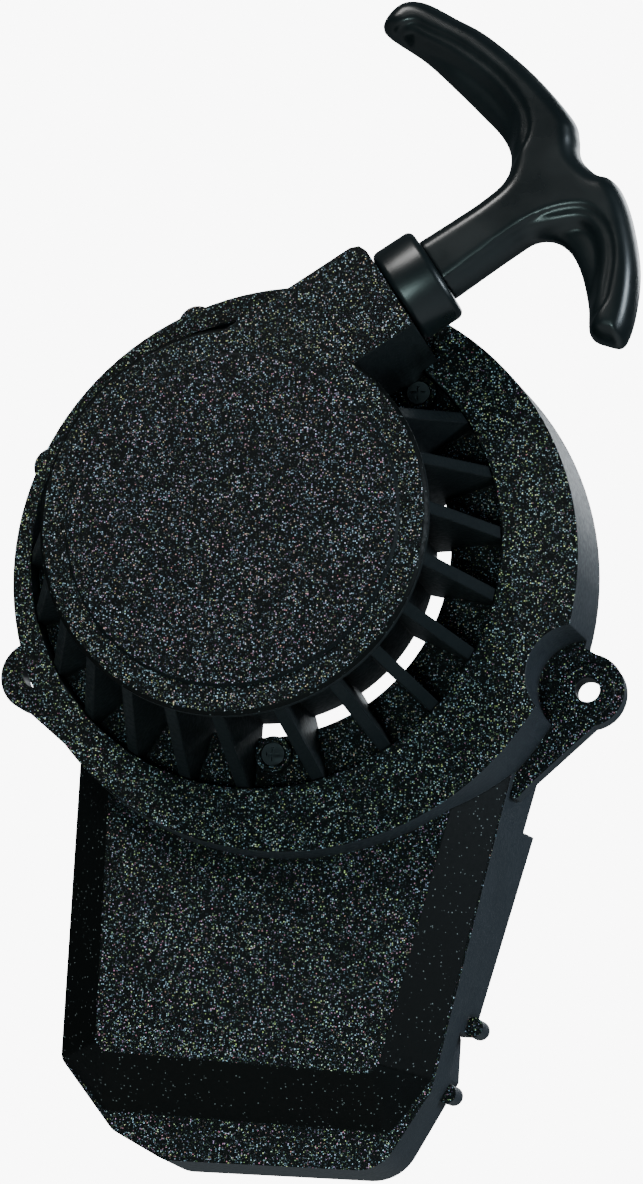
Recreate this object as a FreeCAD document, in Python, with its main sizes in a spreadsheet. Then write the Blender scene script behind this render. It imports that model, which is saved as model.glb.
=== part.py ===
import FreeCAD, Part
import math
import os
import Sketcher
from FreeCAD import Placement, Rotation, Vector

# Recoil starter for a small two-stroke engine, in millimetres.
# Origin: crank axis at the mounting plane. X right, Z up, -Y out of the engine towards the user.
# "Height" below always means the distance in front of the mounting plane, that is -Y.
# The rope arm leaves the drum to the upper right: "along" runs down the arm, "side" across it.

SIZES = {
    # bowl of the shroud
    "bowl_x": 7.2, "bowl_z": -3.6, "bowl_back_radius": 72.0, "bowl_front_radius": 70.3,
    "bowl_height": 25.7, "wall": 2.4, "opening_radius": 58.9,
    "skirt_wall": 2.4, "ledge_inner_radius": 51.5, "ledge_bottom": 13.2, "ledge_top": 16.0,
    # air duct below the bowl
    "duct_back": -18.0, "duct_shoulder": 8.0, "duct_top": 18.0, "duct_step_back": -10.0,
    "duct_step_z": -62.0, "duct_start_z": -50.0,
    # mounting ears
    "lug_right_x": 78.4, "lug_left_x": -61.6, "lug_z": -29.0, "lug_radius": 9.0,
    "lug_height": 6.0, "lug_hole": 3.0, "lug_pad_radius": 6.6, "lug_pad_height": 0.4,
    "scallop_right": 12.2, "scallop_left": 7.3, "scallop_left_wall": 2.0, "lip": 2.8,
    # starter body
    "drum_outer": 41.5, "drum_inner": 39.0, "drum_back": 16.2, "face_radius": 46.9,
    "face_inner": 54.6, "face_height": 57.4, "disc_radius": 39.7, "disc_height": 58.3,
    "post_radius": 6.0, "post_end": 25.7, "screw_bore": 2.5, "screw_bore_end": 45.0,
    "pad_inner": 45.5, "pad_outer": 58.6, "pad_top": 19.8, "fin_thick": 3.0,
    "fin_outer_height": 25.6, "fin_head_radius": 46.5,
    "arm_angle": 34.75, "arm_near": 16.05, "arm_far": 40.9, "arm_top": 57.0, "arm_end": 60.5,
    "arm_gap_height": 26.2, "channel_radius": 3.2, "socket_radius": 7.0, "socket_start": 55.5,
    "ear_radius": 4.4, "ear_top": 22.2, "ear_hole": 1.7, "ear_recess": 3.1, "ear_seat": 20.2,
    # rope and what it runs through
    "rope_side": 28.5, "rope_height": 44.0, "rope_radius": 1.5, "rope_pitch": 3.1,
    "guide_radius": 12.0, "guide_start": 60.5, "guide_end": 72.0, "guide_bore": 2.1,
    # reel
    "reel_radius": 38.3, "reel_front": 47.2, "groove_front": 45.9, "groove_back": 42.1,
    "reel_web_back": 39.8, "reel_core": 14.35, "reel_back": 26.0, "reel_hub": 20.0,
    "spring_hub": 8.6, "spring_hub_front": 53.6, "bush_inner": 6.05, "bush_outer": 7.4,
    # spring and its case
    "case_outer": 37.0, "case_sheet": 0.6, "case_edge": 47.9, "strip_thick": 0.5,
    "strip_back": 48.2, "strip_front": 53.4, "strip_inner": 9.3, "strip_pitch": 1.9,
    # ratchet
    "pivot_radius": 13.0, "pivot_post": 1.8, "pawl_back": 20.4, "pawl_front": 23.8,
    "pawl_length": 12.0, "pawl_half": 3.2, "pin_reach": 6.0, "pin_radius": 1.2,
    "plate_back": 17.2, "plate_front": 20.0, "plate_radius": 19.5, "slot_half": 2.1,
    "shoulder_radius": 4.0, "washer_radius": 9.0, "washer_back": 24.7,
    "head_radius": 7.4, "head_back": 13.2,
    # handle
    "handle_start": 72.2, "handle_back": 36.5, "handle_front": 51.5,
    "knot_seat": 104.0, "knot_pocket": 4.4,
}
SCREW_SPOTS = [(54.0, 49.1), (50.0, -83.9), (52.0, 160.0)]  # radius, angle of each body screw
FIN_SECTORS = [(35.0, -15.0, 7), (-72.5, -18.2, 2), (-105.0, -14.4, 6), (96.0, 15.0, 4)]

doc = FreeCAD.newDocument("recoil_starter")
sheet = doc.addObject("Spreadsheet::Sheet", "Sizes")
for row, (alias, number) in enumerate(SIZES.items(), start=1):
    sheet.set(f"A{row}", alias)
    sheet.set(f"B{row}", str(number))
    sheet.setAlias(f"B{row}", alias)
doc.recompute()


class Size:
    """A length from the sheet: its number, and the expression that binds it."""

    def __init__(self, number, text):
        self.number = number
        self.text = text

    def __add__(self, other):
        other = as_size(other)
        return Size(self.number + other.number, f"({self.text} + {other.text})")

    def __sub__(self, other):
        other = as_size(other)
        return Size(self.number - other.number, f"({self.text} - {other.text})")

    def __mul__(self, factor):
        return Size(self.number * factor, f"({self.text} * {factor})")

    def __neg__(self):
        return self * -1


def as_size(value):
    return value if isinstance(value, Size) else Size(float(value), f"({value} mm)")


def S(alias):
    return Size(float(sheet.get(alias)), f"(Sizes.{alias} * 1 mm)")


def mm(alias):
    return float(sheet.get(alias))


FRONT = Vector(0, -1, 0)
ARM = math.radians(mm("arm_angle"))
ALONG = Vector(math.cos(ARM), 0, math.sin(ARM))
SIDE = Vector(-math.sin(ARM), 0, math.cos(ARM))
nodes = {}


def at_arm(along, side, height):
    return ALONG * along + SIDE * side + FRONT * height


def at_polar(radius, degrees, height):
    angle = math.radians(degrees)
    return Vector(radius * math.cos(angle), -height, radius * math.sin(angle))


def facing(direction):
    return Rotation(Vector(0, 0, 1), direction)


def new_body(label):
    body = doc.addObject("PartDesign::Body", label)
    body.Label = label
    nodes[label] = body
    return body


def origin(body, role):
    return [item for item in body.Origin.OriginFeatures if item.Role == role][0]


def new_sketch(body, name, role="XZ_Plane", height=0, turn=0):
    """A sketch on the body's own plane, moved out to a height and turned about the normal."""
    sketch = body.newObject("Sketcher::SketchObject", name)
    sketch.AttachmentSupport = [(origin(body, role), "")]
    sketch.MapMode = "FlatFace"
    height = as_size(height)
    sketch.AttachmentOffset = Placement(Vector(0, 0, height.number), Rotation(Vector(0, 0, 1), turn))
    sketch.setExpression("AttachmentOffset.Base.z", height.text)
    return sketch


def bind(sketch, kind, where, size):
    size = as_size(size)
    number = sketch.addConstraint(Sketcher.Constraint(kind, *where, size.number))
    sketch.setExpression(f"Constraints[{number}]", size.text)


def draw_polygon(sketch, corners):
    """Closed straight outline whose every corner is bound to the sheet."""
    corners = [(as_size(x), as_size(y)) for x, y in corners]
    points = [Vector(x.number, y.number, 0) for x, y in corners]
    first = sketch.GeometryCount
    count = len(points)
    for i in range(count):
        sketch.addGeometry(Part.LineSegment(points[i], points[(i + 1) % count]), False)
    for i in range(count):
        following = first + (i + 1) % count
        sketch.addConstraint(Sketcher.Constraint("Coincident", first + i, 2, following, 1))
    for i, (x, y) in enumerate(corners):
        bind(sketch, "DistanceX", (-1, 1, first + i, 1), x)
        bind(sketch, "DistanceY", (-1, 1, first + i, 1), y)


def draw_circle(sketch, x, y, radius):
    x, y, radius = as_size(x), as_size(y), as_size(radius)
    circle = Part.Circle(Vector(x.number, y.number, 0), Vector(0, 0, 1), radius.number)
    index = sketch.addGeometry(circle, False)
    bind(sketch, "Radius", (index,), radius)
    bind(sketch, "DistanceX", (-1, 1, index, 3), x)
    bind(sketch, "DistanceY", (-1, 1, index, 3), y)


def extrude(body, sketch, name, length, cut=False):
    kind = "PartDesign::Pocket" if cut else "PartDesign::Pad"
    before = 0.0 if body.Tip is None else body.Shape.Volume
    feature = body.newObject(kind, name)
    feature.Profile = sketch
    length = as_size(length)
    feature.Length = length.number
    feature.setExpression("Length", length.text)
    doc.recompute()
    change = body.Shape.Volume - before
    if (change > -1e-6) if cut else (change < 1e-6):
        raise ValueError(f"{body.Label}: {name} changed nothing")
    return feature


def pad_polygon(body, name, corners, low, high, turn=0):
    sketch = new_sketch(body, f"{name}_sketch", height=low, turn=turn)
    draw_polygon(sketch, corners)
    return extrude(body, sketch, name, as_size(high) - low)


def pad_circle(body, name, x, y, radius, low, high, turn=0):
    sketch = new_sketch(body, f"{name}_sketch", height=low, turn=turn)
    draw_circle(sketch, x, y, radius)
    return extrude(body, sketch, name, as_size(high) - low)


def cut_circles(body, name, circles, high, low, turn=0):
    """Pocket from one height back to a lower one."""
    sketch = new_sketch(body, f"{name}_sketch", height=high, turn=turn)
    for x, y, radius in circles:
        draw_circle(sketch, x, y, radius)
    return extrude(body, sketch, name, as_size(high) - low, cut=True)


def turned(label, profile, base=Vector(0, 0, 0), direction=FRONT):
    """A lathe-turned piece: (radius, height) corners, spun about a line from base."""
    body = new_body(label)
    sketch = new_sketch(body, f"{label}_profile")
    draw_polygon(sketch, profile)
    spin = body.newObject("PartDesign::Revolution", f"{label}_spin")
    spin.Profile = sketch
    spin.ReferenceAxis = (sketch, ["V_Axis"])
    spin.Angle = 360
    body.Placement = Placement(base, facing(direction))
    doc.recompute()
    return body


def drill(body, name, radius, length, base, direction):
    """A straight bore given in the body's own frame."""
    bore = body.newObject("PartDesign::SubtractiveCylinder", name)
    bore.AttachmentSupport = [(origin(body, "XY_Plane"), "")]
    bore.MapMode = "FlatFace"
    bore.AttachmentOffset = Placement(base, facing(direction))
    bore.setExpression("Radius", as_size(radius).text)
    bore.setExpression("Height", as_size(length).text)
    doc.recompute()
    return bore


# ---------------------------------------------------------------- fan shroud

def rounded_wire_geometry(corners):
    """Lines and tangent arcs round a closed outline of (x, y, corner radius)."""
    count = len(corners)
    legs = []
    for i, (x, y, radius) in enumerate(corners):
        here = Vector(x, y, 0)
        back = Vector(corners[i - 1][0], corners[i - 1][1], 0) - here
        ahead = Vector(corners[(i + 1) % count][0], corners[(i + 1) % count][1], 0) - here
        half = back.getAngle(ahead) / 2
        reach = radius / math.tan(half)
        start = here + back.normalize() * reach
        end = here + ahead.normalize() * reach
        middle = (back + ahead).normalize() * (radius / math.sin(half) - radius)
        legs.append((start, here + middle, end))
    geometry = []
    for i, (start, middle, end) in enumerate(legs):
        geometry.append(Part.Arc(start, middle, end))
        geometry.append(Part.LineSegment(end, legs[(i + 1) % count][0]))
    return geometry


def inset(corners, amount):
    """The same outline, moved inwards by an even amount, for a wall's inner side."""
    moved = []
    count = len(corners)
    for i, (x, y, radius) in enumerate(corners):
        px, py, _ = corners[i - 1]
        nx, ny, _ = corners[(i + 1) % count]
        before = Vector(x - px, y - py, 0).normalize()
        after = Vector(nx - x, ny - y, 0).normalize()
        inward_a = Vector(-before.y, before.x, 0)
        inward_b = Vector(-after.y, after.x, 0)
        push = (inward_a + inward_b) * (amount / (1 + inward_a.dot(inward_b)))
        moved.append((x + push.x, y + push.y, max(radius - amount, 0.5)))
    return moved


def outline(name, corners, height):
    sketch = doc.addObject("Sketcher::SketchObject", name)
    height = as_size(height)
    sketch.Placement = Placement(Vector(0, -height.number, 0), Rotation(Vector(1, 0, 0), 90))
    sketch.setExpression("Placement.Base.y", (-height).text)
    sketch.addGeometry(rounded_wire_geometry(corners), False)
    return sketch


def loft(name, lower, upper):
    solid = doc.addObject("Part::Loft", name)
    solid.Sections = [lower, upper]
    solid.Solid = True
    solid.Ruled = True
    return solid


def disc(name, x, z, radius, low, high):
    """A plain round block between two heights."""
    low, high, radius = as_size(low), as_size(high), as_size(radius)
    solid = doc.addObject("Part::Cylinder", name)
    solid.Placement = Placement(Vector(x, -low.number, z), facing(FRONT))
    solid.setExpression("Placement.Base.y", (-low).text)
    solid.setExpression("Radius", radius.text)
    solid.setExpression("Height", (high - low).text)
    return solid


def cone(name, back_radius, front_radius, low, high):
    solid = doc.addObject("Part::Cone", name)
    solid.Placement = Placement(Vector(mm("bowl_x"), -low.number, mm("bowl_z")), facing(FRONT))
    solid.setExpression("Placement.Base.y", (-low).text)
    solid.setExpression("Radius1", back_radius.text)
    solid.setExpression("Radius2", front_radius.text)
    solid.setExpression("Height", (high - low).text)
    return solid


def block(name, corner, lengths):
    solid = doc.addObject("Part::Box", name)
    solid.Length, solid.Width, solid.Height = lengths
    solid.Placement = Placement(Vector(*corner), Rotation())
    return solid


def fuse(name, shapes):
    solid = doc.addObject("Part::MultiFuse", name)
    solid.Shapes = shapes
    return solid


def cut(name, base, tool):
    solid = doc.addObject("Part::Cut", name)
    solid.Base = base
    solid.Tool = tool
    return solid


# Corners run anticlockwise: x, z, corner radius.
DUCT_FOOT = [(-47.4, -40, 1), (-45.8, -124.0, 4), (-31.5, -140.5, 6), (-18, -147.0, 8), (35, -146.6, 10),
             (46.4, -127.0, 5), (62.6, -44.0, 1)]
DUCT_BACK = [(-48.6, -40, 1), (-47.2, -124.0, 4), (-32.7, -141.5, 6), (-19, -148.4, 8), (35, -148.0, 12),
             (48.6, -122.0, 5), (67.6, -44.0, 1)]
SLOPE_FOOT = [(-47.2, -40, 1), (-45.7, -123.6, 2), (-33.6, -136.0, 3), (37.0, -137.6, 3),
              (46.2, -124.5, 3), (62.4, -44.0, 1)]
SLOPE_TOP = [(-36.9, -40, 1), (-34.5, -120.2, 1), (-32.4, -122.5, 1), (33.0, -124.6, 1),
             (35.2, -122.3, 1), (52.6, -44.0, 1)]


def open_top(corners):
    """Carries an inner outline up into the bowl, so that air can pass."""
    first, last = corners[0], corners[-1]
    return [(first[0], -24, 1)] + corners[1:-1] + [(last[0] - 1.0, -34, 1)]


def make_fan_shroud():
    wall = mm("wall")
    low, top = S("duct_shoulder"), S("duct_top")
    outer_parts = [
        cone("bowl_outside", S("bowl_back_radius"), S("bowl_front_radius"), as_size(0), S("bowl_height")),
        loft("duct_outside", outline("duct_back_line", DUCT_BACK, S("duct_back")),
             outline("duct_foot_line", DUCT_FOOT, low)),
        loft("slopes_outside", outline("slope_foot_line", SLOPE_FOOT, low),
             outline("slope_top_line", SLOPE_TOP, top)),
    ]
    inner_parts = [
        cone("bowl_inside", S("bowl_back_radius") - S("wall"), S("bowl_front_radius") - S("wall"),
             as_size(-1), S("bowl_height") - S("wall")),
        loft("duct_inside",
             outline("duct_back_inner", open_top(inset(DUCT_BACK, wall)), S("duct_back") - 1),
             outline("duct_foot_inner", open_top(inset(DUCT_FOOT, wall)), low - S("wall") + 0.4)),
        loft("slopes_inside",
             outline("slope_foot_inner", open_top(inset(SLOPE_FOOT, wall)), low - S("wall")),
             outline("slope_top_inner", open_top(inset(SLOPE_TOP, wall)), top - S("wall"))),
    ]
    right_x, left_x, lug_z = mm("lug_right_x"), mm("lug_left_x"), mm("lug_z")
    lug_top = S("lug_height")
    scallop_right = disc("scallop_right", right_x, lug_z, S("scallop_right"), lug_top, 40)
    scallop_left = disc("scallop_left", left_x, lug_z, S("scallop_left"), lug_top,
                        S("bowl_height") - S("lip"))
    outer = cut("shroud_outside", fuse("shroud_outside_block", outer_parts),
                fuse("scallops", [scallop_right, scallop_left]))
    keep_right = disc("scallop_right_wall", right_x, lug_z, S("scallop_right") + S("wall"), -2, 40)
    keep_left = disc("scallop_left_wall", left_x, lug_z,
                     S("scallop_left") + S("scallop_left_wall"), -2, 40)
    inner = cut("shroud_inside", fuse("shroud_inside_block", inner_parts),
                fuse("scallop_walls", [keep_right, keep_left]))

    ears = []
    for side, x, web in (
        ("right", right_x, [(64, -12, 1), (61, -58, 1), (66.0, -52, 2), (80.6, -37.6, 2), (81, -20.6, 3)]),
        ("left", left_x, [(-52, -14, 1), (-66.5, -22.2, 2), (-68, -34, 2), (-50, -48, 1)]),
    ):
        plate = doc.addObject("Part::Extrusion", f"ear_web_{side}")
        plate.Base = outline(f"ear_web_line_{side}", web, 0)
        plate.DirMode = "Custom"
        plate.Dir = FRONT
        plate.setExpression("LengthFwd", lug_top.text)
        plate.Solid = True
        ears.append(plate)
        ears.append(disc(f"ear_{side}", x, lug_z, S("lug_radius"), 0, lug_top))
        ears.append(disc(f"ear_pad_{side}", x, lug_z, S("lug_pad_radius"), 0,
                         lug_top + S("lug_pad_height")))
    ear_block = cut("ears_clear_of_flywheel", fuse("ears", ears),
                    cut("flywheel_room", inner_parts[0], fuse("ear_walls", [keep_right, keep_left])))

    skirt = disc("skirt_block", 0, 0, S("opening_radius") + S("skirt_wall"), S("ledge_bottom"),
                 S("bowl_height"))
    bosses = []
    pilots = []
    for i, (radius, angle) in enumerate(SCREW_SPOTS, start=1):
        spot = at_polar(radius, angle, 0)
        bosses.append(disc(f"screw_boss_{i}", spot.x, spot.z, S("ear_radius"), 5, S("ledge_top")))
        pilots.append(disc(f"screw_pilot_{i}", spot.x, spot.z, S("ear_hole") - 0.2, 4, 30))
    shell = cut("shroud_shell", outer, inner)
    rim_centre = Vector(mm("bowl_x"), 0, mm("bowl_z"))
    swells = []
    for name, angle in (("top", 115.0), ("left", 159.0)):
        swell = rim_centre + at_polar(67.2, angle, 0)
        swells.append(disc(f"rim_swell_{name}", swell.x, swell.z, 4.8, 19, 25))
    with_ledge = fuse("shroud_with_ledge", [shell, skirt, ear_block] + swells)
    holes = [
        disc("grille_opening", 0, 0, S("opening_radius"), S("ledge_top"), 40),
        disc("ledge_opening", 0, 0, S("ledge_inner_radius"), 0, 40),
    ]
    opened = cut("shroud_opened", with_ledge, fuse("openings", holes))
    with_bosses = fuse("shroud_with_bosses", [opened] + bosses)

    trims = pilots + [
        disc("lug_hole_right", right_x, lug_z, S("lug_hole"), -5, 12),
        disc("lug_hole_left", left_x, lug_z, S("lug_hole"), -5, 12),
        block("duct_step", (-80, -mm("duct_step_back"), mm("duct_step_z")), (170, 40, 60)),
        block("duct_start", (-80, 0, mm("duct_start_z")), (170, 40, 100)),
        block("hook_notch", (48.0, 4, -124.5), (4.6, 20, 12.5)),
    ]
    notched = cut("shroud_trimmed", with_bosses, fuse("trims", trims))

    extras = [notched]
    for name, x, z in (("upper", 52.6, -110.2), ("lower", 46.9, -126.4)):
        extras.append(disc(f"hook_{name}", x, z, 2.4, -18, -8))
    shroud = fuse("fan_shroud", extras)
    shroud.Refine = True
    nodes["fan_shroud"] = shroud


# ---------------------------------------------------------------- starter body

def add_fins(body, number, first_angle, step, count):
    """Radial fins: one profile, turned about the crank axis."""
    sketch = new_sketch(body, f"fin_sketch_{number}", role="XY_Plane")
    sketch.AttachmentOffset = Placement(Vector(0, 0, 0), Rotation(Vector(0, 1, 0), -first_angle))
    root = S("drum_outer") - 0.5
    draw_polygon(sketch, [
        (root, -S("drum_back")),
        (S("pad_outer"), -S("drum_back")),
        (S("pad_outer"), -S("fin_outer_height")),
        (S("fin_head_radius"), -(S("face_inner") + 0.4)),
        (root, -(S("face_inner") + 0.4)),
    ])
    fin = body.newObject("PartDesign::Pad", f"fin_{number}")
    fin.Profile = sketch
    fin.Midplane = True
    fin.setExpression("Length", S("fin_thick").text)
    doc.recompute()
    pattern = body.newObject("PartDesign::PolarPattern", f"fins_{number}")
    pattern.Originals = [fin]
    pattern.Axis = (origin(body, "Y_Axis"), [""])
    pattern.Reversed = step > 0
    pattern.Angle = abs(step) * (count - 1)
    pattern.Occurrences = count
    body.Tip = pattern
    doc.recompute()


def make_starter_body():
    body = new_body("starter_body")
    profile = new_sketch(body, "drum_profile", role="XY_Plane")
    corners = [
        (0, S("disc_height")), (S("disc_radius"), S("disc_height")),
        (S("disc_radius") + 0.6, S("face_height")), (S("face_radius") - 0.9, S("face_height")),
        (S("face_radius"), S("face_height") - 0.9), (S("face_radius"), S("face_inner")),
        (S("drum_outer"), S("face_inner")), (S("drum_outer"), S("drum_back")),
        (S("drum_inner"), S("drum_back")), (S("drum_inner"), S("face_inner")),
        (S("post_radius"), S("face_inner")), (S("post_radius"), S("post_end")),
        (S("screw_bore"), S("post_end")), (S("screw_bore"), S("screw_bore_end")),
        (0, S("screw_bore_end")),
    ]
    draw_polygon(profile, [(radius, -as_size(height)) for radius, height in corners])
    spin = body.newObject("PartDesign::Revolution", "drum")
    spin.Profile = profile
    spin.ReferenceAxis = (profile, ["V_Axis"])
    spin.Angle = 360
    doc.recompute()
    for number, (first_angle, step, count) in enumerate(FIN_SECTORS, start=1):
        add_fins(body, number, first_angle, step, count)

    turn = mm("arm_angle")
    near, far = S("arm_near"), S("arm_far")
    pad_polygon(body, "arm", [(0, near), (S("arm_end"), near), (S("arm_end"), far - 3),
                              (S("arm_end") - 0.9, far - 0.9), (S("arm_end") - 3, far), (0, far)],
                S("arm_gap_height"), S("arm_top"), turn)
    pad_polygon(body, "arm_root", [(25, near), (56, near), (41.5, far), (25, far)],
                S("drum_back"), S("arm_gap_height"), turn)
    pad_polygon(body, "step_beside_arm", [(38, 11), (49, 11), (49, near), (38, near)],
                S("drum_back"), S("ear_top") + 1.5, turn)

    ring = new_sketch(body, "pad_ring_sketch", height=S("drum_back"))
    draw_circle(ring, 0, 0, S("pad_outer"))
    draw_circle(ring, 0, 0, S("pad_inner"))
    extrude(body, ring, "pad_ring", S("pad_top") - S("drum_back"))
    for i, (radius, angle) in enumerate(SCREW_SPOTS, start=1):
        spot = at_polar(radius, angle, 0)
        pad_circle(body, f"ear_{i}", spot.x, spot.z, S("ear_radius"), S("drum_back"), S("ear_top"))
        cut_circles(body, f"ear_recess_{i}", [(spot.x, spot.z, S("ear_recess"))],
                    S("ear_top"), S("ear_seat"))
        cut_circles(body, f"ear_hole_{i}", [(spot.x, spot.z, S("ear_hole"))],
                    S("ear_seat"), S("drum_back"))

    cut_circles(body, "reel_room", [(0, 0, S("drum_inner")), (0, 0, S("post_radius"))],
                S("face_inner"), S("drum_back"))
    inside = at_arm(20, mm("rope_side"), mm("rope_height"))
    drill(body, "rope_channel", S("channel_radius"), S("arm_end") - 18, inside, ALONG)
    mouth = at_arm(mm("socket_start"), mm("rope_side"), mm("rope_height"))
    drill(body, "guide_socket", S("socket_radius"), S("arm_end") - S("socket_start") + 1, mouth, ALONG)


# ---------------------------------------------------------------- rope, reel and handle

def rope_line_at(along):
    return at_arm(along, mm("rope_side"), mm("rope_height"))


def make_rope_guide():
    spigot = S("guide_start") - S("socket_start")
    length = S("guide_end") - S("socket_start")
    round_off = 1.6
    rim = S("guide_radius")
    turned("rope_guide", [
        (S("guide_bore"), 0), (S("socket_radius") - 0.02, 0), (S("socket_radius") - 0.02, spigot),
        (rim - round_off, spigot), (rim - 0.45, spigot + 0.45), (rim, spigot + round_off),
        (rim, length - round_off), (rim - 0.45, length - 0.45), (rim - round_off, length),
        (S("guide_bore") + 1.2, length), (S("guide_bore"), length - 1.6),
    ], rope_line_at(mm("socket_start")), ALONG)


def half_turns(start_radius, drop, count):
    """Half circles that shrink by an even drop, about two centres: (centre side, radius, sign)."""
    turns = []
    for k in range(count):
        centre = 0.0 if k % 2 == 0 else -drop
        turns.append((centre, start_radius - drop * k, 1 if k % 2 == 0 else -1))
    return turns


def half_arc(centre, radius, sign, height):
    """Half circle from the rope-side direction round through -ALONG, or back through +ALONG."""
    middle = SIDE * centre + FRONT * height
    return Part.Arc(middle + SIDE * (sign * radius), middle - ALONG * (sign * radius),
                    middle - SIDE * (sign * radius))


def make_rope_winding():
    height = mm("rope_height")
    drop = mm("rope_pitch") / 2
    turns = half_turns(mm("rope_side"), drop, 9)
    path = Part.Wire([half_arc(c, r, s, height).toShape() for c, r, s in turns])
    ring = Part.Circle(rope_line_at(0), ALONG, mm("rope_radius"))
    section = Part.Wire(ring.toShape())
    shape = path.makePipeShell([section], True, False)
    winding = doc.addObject("Part::Feature", "rope_winding")
    winding.Label = "rope_winding"
    winding.Shape = shape
    winding.Placement = Placement()
    nodes["rope_winding"] = winding
    expected = path.Length * math.pi * mm("rope_radius") ** 2
    print("rope winding: length %.1f mm, radii %.1f to %.1f, volume ratio %.4f"
          % (path.Length, turns[0][1], turns[-1][1], shape.Volume / expected))
    return turns[-1]


def make_rope_lead():
    start = 0.7
    turned("rope_lead", [
        (0, 0), (S("rope_radius"), 0), (S("rope_radius"), S("knot_seat") + 1.2 - start),
        (0, S("knot_seat") + 1.2 - start),
    ], rope_line_at(start), ALONG)


def knot_profile(radius, length):
    """A tight stopper knot: a barrel with full, rounded ends."""
    return [(0, 0), (radius - 1.1, 0), (radius - 0.3, length * 0.18), (radius, length * 0.5),
            (radius - 0.3, length * 0.82), (radius - 1.1, length), (0, length)]


def make_knots():
    seat = mm("knot_seat")
    turned("knot_washer", [
        (S("rope_radius") + 0.1, 0), (S("knot_pocket") - 0.2, 0), (S("knot_pocket") - 0.2, 1.0),
        (S("rope_radius") + 0.1, 1.0),
    ], rope_line_at(seat), ALONG)
    turned("handle_knot", knot_profile(3.6, 7.4), rope_line_at(seat + 1.2), ALONG)


def make_reel(last_turn):
    reel = turned("reel", [
        (S("bush_outer"), S("reel_back")), (S("reel_hub"), S("reel_back")),
        (S("reel_hub"), S("reel_web_back")), (S("reel_radius"), S("reel_web_back")),
        (S("reel_radius"), S("groove_back")), (S("reel_core"), S("groove_back")),
        (S("reel_core"), S("groove_front")), (S("reel_radius"), S("groove_front")),
        (S("reel_radius"), S("reel_front")), (S("spring_hub"), S("reel_front")),
        (S("spring_hub"), S("spring_hub_front")), (S("bush_outer"), S("spring_hub_front")),
    ])
    centre, radius, sign = last_turn
    end = SIDE * (centre - sign * radius)
    knot_centre = end.normalize() * 10.9
    for number, turn in ((1, 90), (2, 270)):
        spot = at_polar(mm("pivot_radius"), turn, 0)
        post = new_sketch_in_reel(reel, f"pivot_{number}_sketch", spot)
        extrude(reel, post, f"pivot_{number}", S("reel_back") - S("pawl_back") + 0.5)
    pocket = reel.newObject("PartDesign::SubtractiveCylinder", "knot_pocket")
    pocket.AttachmentSupport = [(origin(reel, "XY_Plane"), "")]
    pocket.MapMode = "FlatFace"
    in_reel = reel.Placement.inverse()
    pocket.AttachmentOffset = Placement(in_reel.multVec(knot_centre + FRONT * 41.2), Rotation())
    pocket.Radius = 2.7
    pocket.Height = 10
    doc.recompute()
    slot = reel.newObject("PartDesign::SubtractiveBox", "knot_slot")
    slot.AttachmentSupport = [(origin(reel, "XY_Plane"), "")]
    slot.MapMode = "FlatFace"
    across = in_reel.Rotation.multVec(knot_centre).normalize()
    turn = Rotation(Vector(1, 0, 0), across)
    corner = in_reel.multVec(knot_centre + FRONT * 42.1) + turn.multVec(Vector(0, -1.8, 0))
    slot.AttachmentOffset = Placement(corner, turn)
    slot.Length = 6
    slot.Width = 3.6
    slot.Height = 3.8
    doc.recompute()
    turned("reel_bush", [
        (S("bush_inner"), S("reel_back")), (S("bush_outer"), S("reel_back")),
        (S("bush_outer"), S("spring_hub_front")), (S("bush_inner"), S("spring_hub_front")),
    ])
    outward = Vector(knot_centre).normalize()
    turned("reel_knot", [
        (0, 0), (1.5, 0), (2.4, 1.0), (2.4, 3.2), (1.6, 4.2), (1.3, 4.6), (1.3, 5.4), (0, 5.4),
    ], knot_centre - outward * 2.3 + FRONT * mm("rope_height"), outward)


def new_sketch_in_reel(reel, name, spot):
    """A pivot post's circle on the plane through the reel's back, drawn to face the engine."""
    sketch = reel.newObject("Sketcher::SketchObject", name)
    sketch.AttachmentSupport = [(origin(reel, "XY_Plane"), "")]
    sketch.MapMode = "FlatFace"
    local = reel.Placement.inverse().multVec(spot)
    sketch.AttachmentOffset = Placement(Vector(0, 0, mm("pawl_back")), Rotation())
    draw_circle(sketch, local.x, local.y, S("pivot_post"))
    return sketch


def make_recoil_spring():
    """Flat spiral strip: half circles on two centres, eased out to the case wall."""
    count = 26
    drop = mm("strip_pitch") / 2
    thick = mm("strip_thick")
    start = mm("strip_inner")
    inner_edges = []
    outer_edges = []
    for k in range(count):
        centre = 0.0 if k % 2 == 0 else -drop
        sign = 1 if k % 2 == 0 else -1
        radius = start + drop * k
        inner_edges.append(half_arc(centre, radius, -sign, 0).toShape())
        outer_edges.append(half_arc(centre, radius + thick, -sign, 0).toShape())
    first_in, first_out = inner_edges[0].Vertexes[0].Point, outer_edges[0].Vertexes[0].Point
    last_in, last_out = inner_edges[-1].Vertexes[-1].Point, outer_edges[-1].Vertexes[-1].Point
    ends = [Part.makeLine(first_in, first_out), Part.makeLine(last_in, last_out)]
    wire = Part.Wire(Part.__sortEdges__(inner_edges + outer_edges + ends))
    strip = Part.Face(wire).extrude(FRONT * (mm("strip_front") - mm("strip_back")))
    strip.translate(FRONT * mm("strip_back"))
    spring = doc.addObject("Part::Feature", "recoil_spring")
    spring.Label = "recoil_spring"
    spring.Shape = strip
    nodes["recoil_spring"] = spring
    print("recoil spring: strip %.0f mm long, outer radius %.1f"
          % (sum(edge.Length for edge in inner_edges), start + drop * count + thick))


def make_spring_case():
    sheet_metal = S("case_sheet")
    turned("spring_case", [
        (S("spring_hub") + 1.2, S("face_inner") - sheet_metal),
        (S("case_outer") - sheet_metal, S("face_inner") - sheet_metal),
        (S("case_outer") - sheet_metal, S("case_edge")), (S("case_outer"), S("case_edge")),
        (S("case_outer"), S("face_inner")), (S("spring_hub") + 1.2, S("face_inner")),
    ])


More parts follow.
